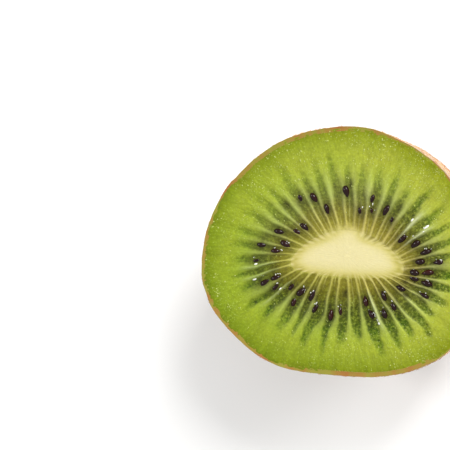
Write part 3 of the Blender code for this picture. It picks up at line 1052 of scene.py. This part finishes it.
class FRUIT_OT_juice(bpy.types.Operator):
    """Scatters small beads of juice over the cut, and near-white ones beside seeds and proud walls as painted
    highlights
    """

    bl_idname = "fruit.juice"
    bl_label = "Juice"

    def execute(self, context):
        look, flesh = context.scene.juice_look, context.scene.flesh_look
        draw = random.Random(JUICE_DRAW)
        shape = bmesh.new()
        painted_glint = shape.verts.layers.float.new("painted_glint")
        for share, reach, size in self.bead_places(look, draw):
            point, heading = cut_point(share, reach)
            self.add_bead(shape, (*point, surface_height(flesh, share, reach)), heading, size, 1.5, draw)
        for vert in shape.verts:
            vert[painted_glint] = 0.0
        # Painted highlights: these beads are coloured near white in place of glints of light on the wet gel.
        for place, heading, size in self.glint_places(look, flesh, draw):
            for vert in self.add_bead(shape, place, heading, size, 3.0, draw):
                vert[painted_glint] = 1.0
        finish_piece(mesh_piece("juice_beads", shape, smooth=True), juice_material(look))
        return {"FINISHED"}

    def bead_places(self, look, draw):
        """Share, reach and radius of small beads, in loose clusters."""
        places = []
        zones = ((look.outer_beads, 0.58, 0.97, 1.0), (look.chamber_beads, 0.14, 0.56, 0.8))
        for count, low, high, scale in zones:
            for bead in range(count):
                share, reach = draw.random(), draw.uniform(low, high)
                if bead % 3:
                    share, reach = places[-1][0] + draw.gauss(0, 0.006), places[-1][1] + draw.gauss(0, 0.02)
                size = draw.triangular(look.smallest, look.largest, look.smallest) * scale
                places.append((share, min(max(reach, low), high), size))
        return places

    def glint_places(self, look, flesh, draw):
        """Place, heading and radius of the near-white beads that are painted highlights: beside seeds, mostly on
        their upper side towards the key light, and along proud walls.
        """
        places = []
        for share, reach, *_ in seed_places():
            (x, y), heading = cut_point(share, reach)
            for bead in range(draw.choice((0, 0, 2, 3, 4))):
                away = math.radians(draw.gauss(80.0, 35.0))
                across = math.hypot(math.cos(away - heading) / 1.15, math.sin(away - heading) / 0.62)
                distance = draw.uniform(0.85, 1.2) * MM / across
                height = CUT_HEIGHT - 0.4 * flesh.chamber_depth
                spot = (x + distance * math.cos(away), y + distance * math.sin(away), height)
                places.append((spot, heading + draw.gauss(0.0, 0.5), draw.uniform(0.35, 0.75) * look.largest))
        for wall in PROUD_WALLS:
            for bead in range(draw.randrange(4, 8)):
                share = FIRST_WALL + (wall + draw.uniform(-0.12, 0.12)) / CHAMBERS
                reach = draw.uniform(0.26, 0.5)
                point, heading = cut_point(share, reach)
                radius = (1.6 if bead == 0 else draw.uniform(0.35, 0.8)) * look.largest
                places.append(((*point, surface_height(flesh, share, reach)), heading, radius))
        return places

    def add_bead(self, shape, place, heading, radius, longest, draw):
        matrix = Matrix.Translation(place) @ Matrix.Rotation(heading, 4, "Z")
        matrix @= Matrix.Diagonal((radius * draw.uniform(0.9, longest), radius, 0.7 * radius, 1.0))
        fineness = 2 if radius > 0.08 * MM else 1
        return bmesh.ops.create_icosphere(shape, subdivisions=fineness, radius=1.0, matrix=matrix)["verts"]


def surface_height(flesh, share, reach):
    """The height of the cut's surface at one point."""
    values = cut_pattern(np.array([share]), np.array([reach]))
    chamber, line, proud = (float(values[key][0]) for key in ("chamber", "line", "proud"))
    return CUT_HEIGHT - 0.8 * flesh.chamber_depth * chamber + flesh.wall_height * line + flesh.proud_height * proud


class FRUIT_OT_skin(bpy.types.Operator):
    """Builds the brown skin as a thin closed shell with the stem's hollow"""

    bl_idname = "fruit.skin"
    bl_label = "Skin"

    def execute(self, context):
        look = context.scene.skin_look
        shares = np.arange(SKIN_COLUMNS) / SKIN_COLUMNS
        edge = inset(flesh_edge(shares), -look.lip)
        inner_edge = inset(edge, look.thickness + look.tuck + SIDE_TUCK[0])
        inner = under_rings(inner_edge, HOLLOW_DEPTH + look.thickness)[::-1]
        fray = 0.05 * MM * patches(shares, np.zeros_like(shares), 150, 1, 5)
        fray += 0.04 * MM * patches(shares, np.zeros_like(shares), 40, 1, 6)
        lip = [
            level(inset(edge, look.lip + 0.04 * MM), CUT_HEIGHT + 0.02 * MM + fray),
            level(inset(edge, 0.3 * look.lip), CUT_HEIGHT + 0.04 * MM + fray),
        ]
        outside = self.outside_rings(edge, shares, look)
        hollow = self.hollow_rings(outside[-1], shares)
        rings = np.array(inner + lip + outside + hollow)
        inside = len(inner) + len(lip)
        reaches = np.concatenate([np.zeros(inside), np.linspace(0.0, 1.0, len(outside) + len(hollow))])
        rim, scar, hairy = np.zeros((3, *rings.shape[:2]))
        rim[inside - 3:inside] = 1.0
        rim[inside] = 0.9
        scar[1 - len(hollow):] = 1.0
        hairy[inside:inside + len(outside)] = 1.0
        bare = (0.8 * MM, 2.2 * MM, CUT_HEIGHT - 0.5 * MM, CUT_HEIGHT - 0.1 * MM)
        hairy *= plateau(*bare, rings[:, :, 2])
        piece = wrap_grid("brown_skin", rings, reaches, {"rim": rim, "scar": scar, "hairy": hairy})
        finish_piece(piece, skin_material(look))
        return {"FINISHED"}

    def outside_rings(self, edge, shares, look):
        """Rings down the outside, slightly uneven, to the flat ring that the half rests on."""
        rings = []
        profile = rounded_profile(REST_RADIUS / FACE_RADIUS, DOME_FULLNESS, SKIN_RINGS)
        profile[1:1] = [(1.0, 0.006), (1.0, 0.015)]
        tuck = look.tuck + bulge(edge, *SIDE_TUCK)
        for width, depth in profile:
            ring = dome_ring(edge, width, depth, CUT_HEIGHT * (1.0 - depth))
            reach = np.full_like(shares, depth)
            lumps = patches(shares, reach, 14, 7, 91) + 0.5 * patches(shares, reach, 40, 18, 92)
            lumps = look.unevenness * (lumps + 0.25 * patches(shares, reach, 150, 60, 93))
            moved = lumps * plateau(0.0, 0.04, 0.9, 1.0, depth) - tuck * plateau(0.0, 0.12, 0.35, 0.7, depth)
            ring[:, :2] *= 1.0 + (moved / FACE_RADIUS)[:, None]
            rings.append(ring)
        return rings

    def hollow_rings(self, rest, shares):
        """The flat resting ring and the stem's hollow inside it."""
        flat = rest[:, :2] / REST_RADIUS
        rough = 0.06 * MM * patches(shares, np.zeros_like(shares), 40, 1, 97)
        return [
            level(flat * (HOLLOW_RADIUS + 0.4 * MM), 0.0),
            level(flat * HOLLOW_RADIUS, 0.08 * MM),
            level(flat * HOLLOW_SLOPE_RADIUS, 0.55 * HOLLOW_DEPTH + rough),
            level(flat * HOLLOW_FLOOR_RADIUS, HOLLOW_DEPTH + rough),
        ]


class FRUIT_OT_scar(bpy.types.Operator):
    """Builds the woody button in the stem's hollow"""

    bl_idname = "fruit.scar"
    bl_label = "Stem Scar"

    def execute(self, context):
        shares = np.arange(BUTTON_COLUMNS) / BUTTON_COLUMNS
        angles = 2.0 * math.pi * shares
        circle = np.stack([np.cos(angles), np.sin(angles)], axis=1)
        widest = max(radius for radius, height in BUTTON_RINGS)
        rings = []
        for radius, height in BUTTON_RINGS:
            rough = 0.10 * MM * patches(shares, np.full_like(shares, radius / widest), 14, 3, 12)
            rings.append(level(circle * radius * MM, height * MM + rough * (radius < widest)))
        piece = wrap_grid("stem_button", np.array(rings), np.linspace(0.0, 1.0, len(rings)), {})
        finish_piece(piece, scar_material())
        return {"FINISHED"}


class FRUIT_OT_hairs(bpy.types.Operator):
    """Scatters short bent hairs over the skin"""

    bl_idname = "fruit.hairs"
    bl_label = "Hairs"

    def execute(self, context):
        look = context.scene.skin_look
        hair = self.make_hair(look)
        source = add_object("hair_source", bpy.data.objects["brown_skin"].data.copy())
        source.modifiers.new("hairs", "NODES").node_group = self.scatter_nodes(hair, look)
        evaluated = source.evaluated_get(context.evaluated_depsgraph_get())
        mesh = bpy.data.meshes.new_from_object(evaluated)
        mesh.name = "skin_hairs"
        bpy.data.objects.remove(source)
        bpy.data.objects.remove(hair)
        if not mesh.polygons:
            raise RuntimeError("no hairs were made")
        mesh.polygons.foreach_set("use_smooth", [True] * len(mesh.polygons))
        finish_piece(add_object("skin_hairs", mesh), hair_material(look))
        return {"FINISHED"}

    def make_hair(self, look):
        """One hair: a thin three-sided spike, bent to one side."""
        length, radius = look.hair_length, 0.5 * look.hair_width
        shape = bmesh.new()
        bmesh.ops.create_cone(shape, cap_ends=True, segments=3, radius1=radius, radius2=0.0, depth=length)
        bmesh.ops.translate(shape, verts=shape.verts, vec=(0.0, 0.0, 0.46 * length))
        everything = shape.verts[:] + shape.edges[:] + shape.faces[:]
        middle = (0.0, 0.0, 0.5 * length)
        bmesh.ops.bisect_plane(shape, geom=everything, plane_co=middle, plane_no=(0.0, 0.0, 1.0))
        for vert in shape.verts:
            bend = max(vert.co.z, 0.0) / length
            vert.co.y -= 0.3 * length * bend * bend
        return mesh_piece("hair", shape)

    def scatter_nodes(self, hair, look):
        """Nodes that set hairs on a mesh, as close together as its number `hairy` says."""
        tree = bpy.data.node_groups.new("scatter_hairs", "GeometryNodeTree")
        for way in ("INPUT", "OUTPUT"):
            tree.interface.new_socket("Geometry", in_out=way, socket_type="NodeSocketGeometry")
        skin = add_node(tree, "NodeGroupInput").outputs[0]
        hairy = add_node(tree, "GeometryNodeInputNamedAttribute", {"Name": "hairy"}, data_type="FLOAT")
        density = times(tree, hairy.outputs["Attribute"], look.hairs_per_mm2 / MM**2)
        spread = {"Mesh": skin, "Density": density, "Seed": 4}
        points = add_node(tree, "GeometryNodeDistributePointsOnFaces", spread).outputs
        low, high = (math.radians(lean) for lean in HAIR_LEAN)
        between = {0: (low, 0.0, 0.0), 1: (high, 0.0, 2.0 * math.pi)}
        lean = add_node(tree, "FunctionNodeRandomValue", between, data_type="FLOAT_VECTOR")
        size = add_node(tree, "FunctionNodeRandomValue", {2: HAIR_SIZES[0], 3: HAIR_SIZES[1]}, data_type="FLOAT")
        turn = add_node(tree, "FunctionNodeEulerToRotation", {0: lean.outputs[0]})
        turns = {0: points["Rotation"], 1: turn.outputs[0]}
        facing = add_node(tree, "FunctionNodeRotateRotation", turns, rotation_space="LOCAL")
        shape = add_node(tree, "GeometryNodeObjectInfo", {"Object": hair})
        placed = {
            "Points": points["Points"],
            "Instance": shape.outputs["Geometry"],
            "Rotation": facing.outputs[0],
            "Scale": size.outputs[1],
        }
        hairs = add_node(tree, "GeometryNodeInstanceOnPoints", placed)
        real = add_node(tree, "GeometryNodeRealizeInstances", {0: hairs.outputs[0]})
        add_node(tree, "NodeGroupOutput", {0: real.outputs[0]})
        return tree


class FRUIT_OT_stage(bpy.types.Operator):
    """Builds the pale floor, the soft lights and the camera"""

    bl_idname = "fruit.stage"
    bl_label = "Stage"

    def execute(self, context):
        studio = context.scene.studio_look
        self.make_floor(studio)
        self.make_fill(context, studio)
        self.make_light("key_light", (0.30, 0.42, 0.62), 0.24, studio.key_power)
        self.make_light("side_light", (-0.42, 0.10, 0.48), 0.12, studio.side_power)
        self.make_light("low_light", (0.52, 0.34, 0.16), 0.22, studio.low_power).visible_glossy = False
        self.make_camera(context)
        context.scene.view_settings.view_transform = "Standard"
        context.scene.view_settings.look = "None"
        return {"FINISHED"}

    def make_floor(self, studio):
        shape = bmesh.new()
        bmesh.ops.create_grid(shape, x_segments=1, y_segments=1, size=studio.floor_size / 2)
        floor = mesh_piece("floor", shape)
        floor.data.materials.append(floor_material(studio))

    def make_fill(self, context, studio):
        world = bpy.data.worlds.new("soft_fill")
        world.use_nodes = True
        background = world.node_tree.nodes["Background"]
        set_sockets(background, {"Color": (1.0, 1.0, 1.0, 1.0), "Strength": studio.fill})
        context.scene.world = world

    def make_light(self, name, place, size, power):
        light = bpy.data.lights.new(name, "AREA")
        light.shape = "SQUARE"
        light.size = size
        light.energy = power
        lamp = add_object(name, light)
        lamp.location = place
        aim = Vector((0.0, 0.0, CUT_HEIGHT)) - lamp.location
        lamp.rotation_euler = aim.to_track_quat("-Z", "Y").to_euler()
        return lamp

    def make_camera(self, context):
        """A long lens that looks down on the cut, leaning towards its right side."""
        tilt, towards = math.radians(CAMERA_TILT), math.radians(CAMERA_TOWARDS)
        target = Vector((*CUT_POINT, CUT_HEIGHT))
        back = Vector((math.sin(tilt) * math.cos(towards), math.sin(tilt) * math.sin(towards), math.cos(tilt)))
        right = Vector((0.0, 1.0, 0.0)).cross(back).normalized()
        focal = CAMERA_DISTANCE * PIXELS_PER_METRE
        half = PICTURE_SIZE / 2
        aimed = Vector((CUT_PIXEL[0] - half, half - CUT_PIXEL[1], -focal)).normalized()
        straight = aimed.rotation_difference(Vector((0.0, 0.0, -1.0))).to_matrix()
        facing = Matrix((right, back.cross(right), back)).transposed() @ straight
        lens = bpy.data.cameras.new("camera")
        lens.sensor_width = SENSOR
        lens.lens = SENSOR * focal / PICTURE_SIZE
        lens.clip_start = 0.01
        lens.clip_end = 10.0
        camera = add_object("camera", lens)
        camera.matrix_world = Matrix.Translation(target + back * CAMERA_DISTANCE) @ facing.to_4x4()
        context.scene.camera = camera


STEPS = (
    FRUIT_OT_flesh,
    FRUIT_OT_core,
    FRUIT_OT_seeds,
    FRUIT_OT_juice,
    FRUIT_OT_skin,
    FRUIT_OT_scar,
    FRUIT_OT_hairs,
    FRUIT_OT_stage,
)
LOOKS = {
    "flesh_look": FleshLook,
    "core_look": CoreLook,
    "seed_look": SeedLook,
    "juice_look": JuiceLook,
    "skin_look": SkinLook,
    "studio_look": StudioLook,
}


class FRUIT_PT_pieces(bpy.types.Panel):
    """Lists the pieces and their looks"""

    bl_idname = "FRUIT_PT_pieces"
    bl_label = "Fruit Half"
    bl_space_type = "VIEW_3D"
    bl_region_type = "UI"
    bl_category = "Fruit"

    def draw(self, context):
        for step in STEPS:
            self.layout.operator(step.bl_idname)
        for name in LOOKS:
            box = self.layout.box()
            look = getattr(context.scene, name)
            for key in look.__annotations__:
                box.prop(look, key)


def register():
    for kind in (*LOOKS.values(), *STEPS, FRUIT_PT_pieces):
        bpy.utils.register_class(kind)
    for name, look in LOOKS.items():
        setattr(bpy.types.Scene, name, PointerProperty(type=look))


def unregister():
    for name in LOOKS:
        delattr(bpy.types.Scene, name)
    for kind in reversed((*LOOKS.values(), *STEPS, FRUIT_PT_pieces)):
        bpy.utils.unregister_class(kind)


def main():
    register()
    bpy.ops.fruit.flesh()
    bpy.ops.fruit.core()
    bpy.ops.fruit.seeds()
    bpy.ops.fruit.juice()
    bpy.ops.fruit.skin()
    bpy.ops.fruit.scar()
    bpy.ops.fruit.hairs()
    bpy.ops.fruit.stage()


if __name__ == "__main__":
    main()
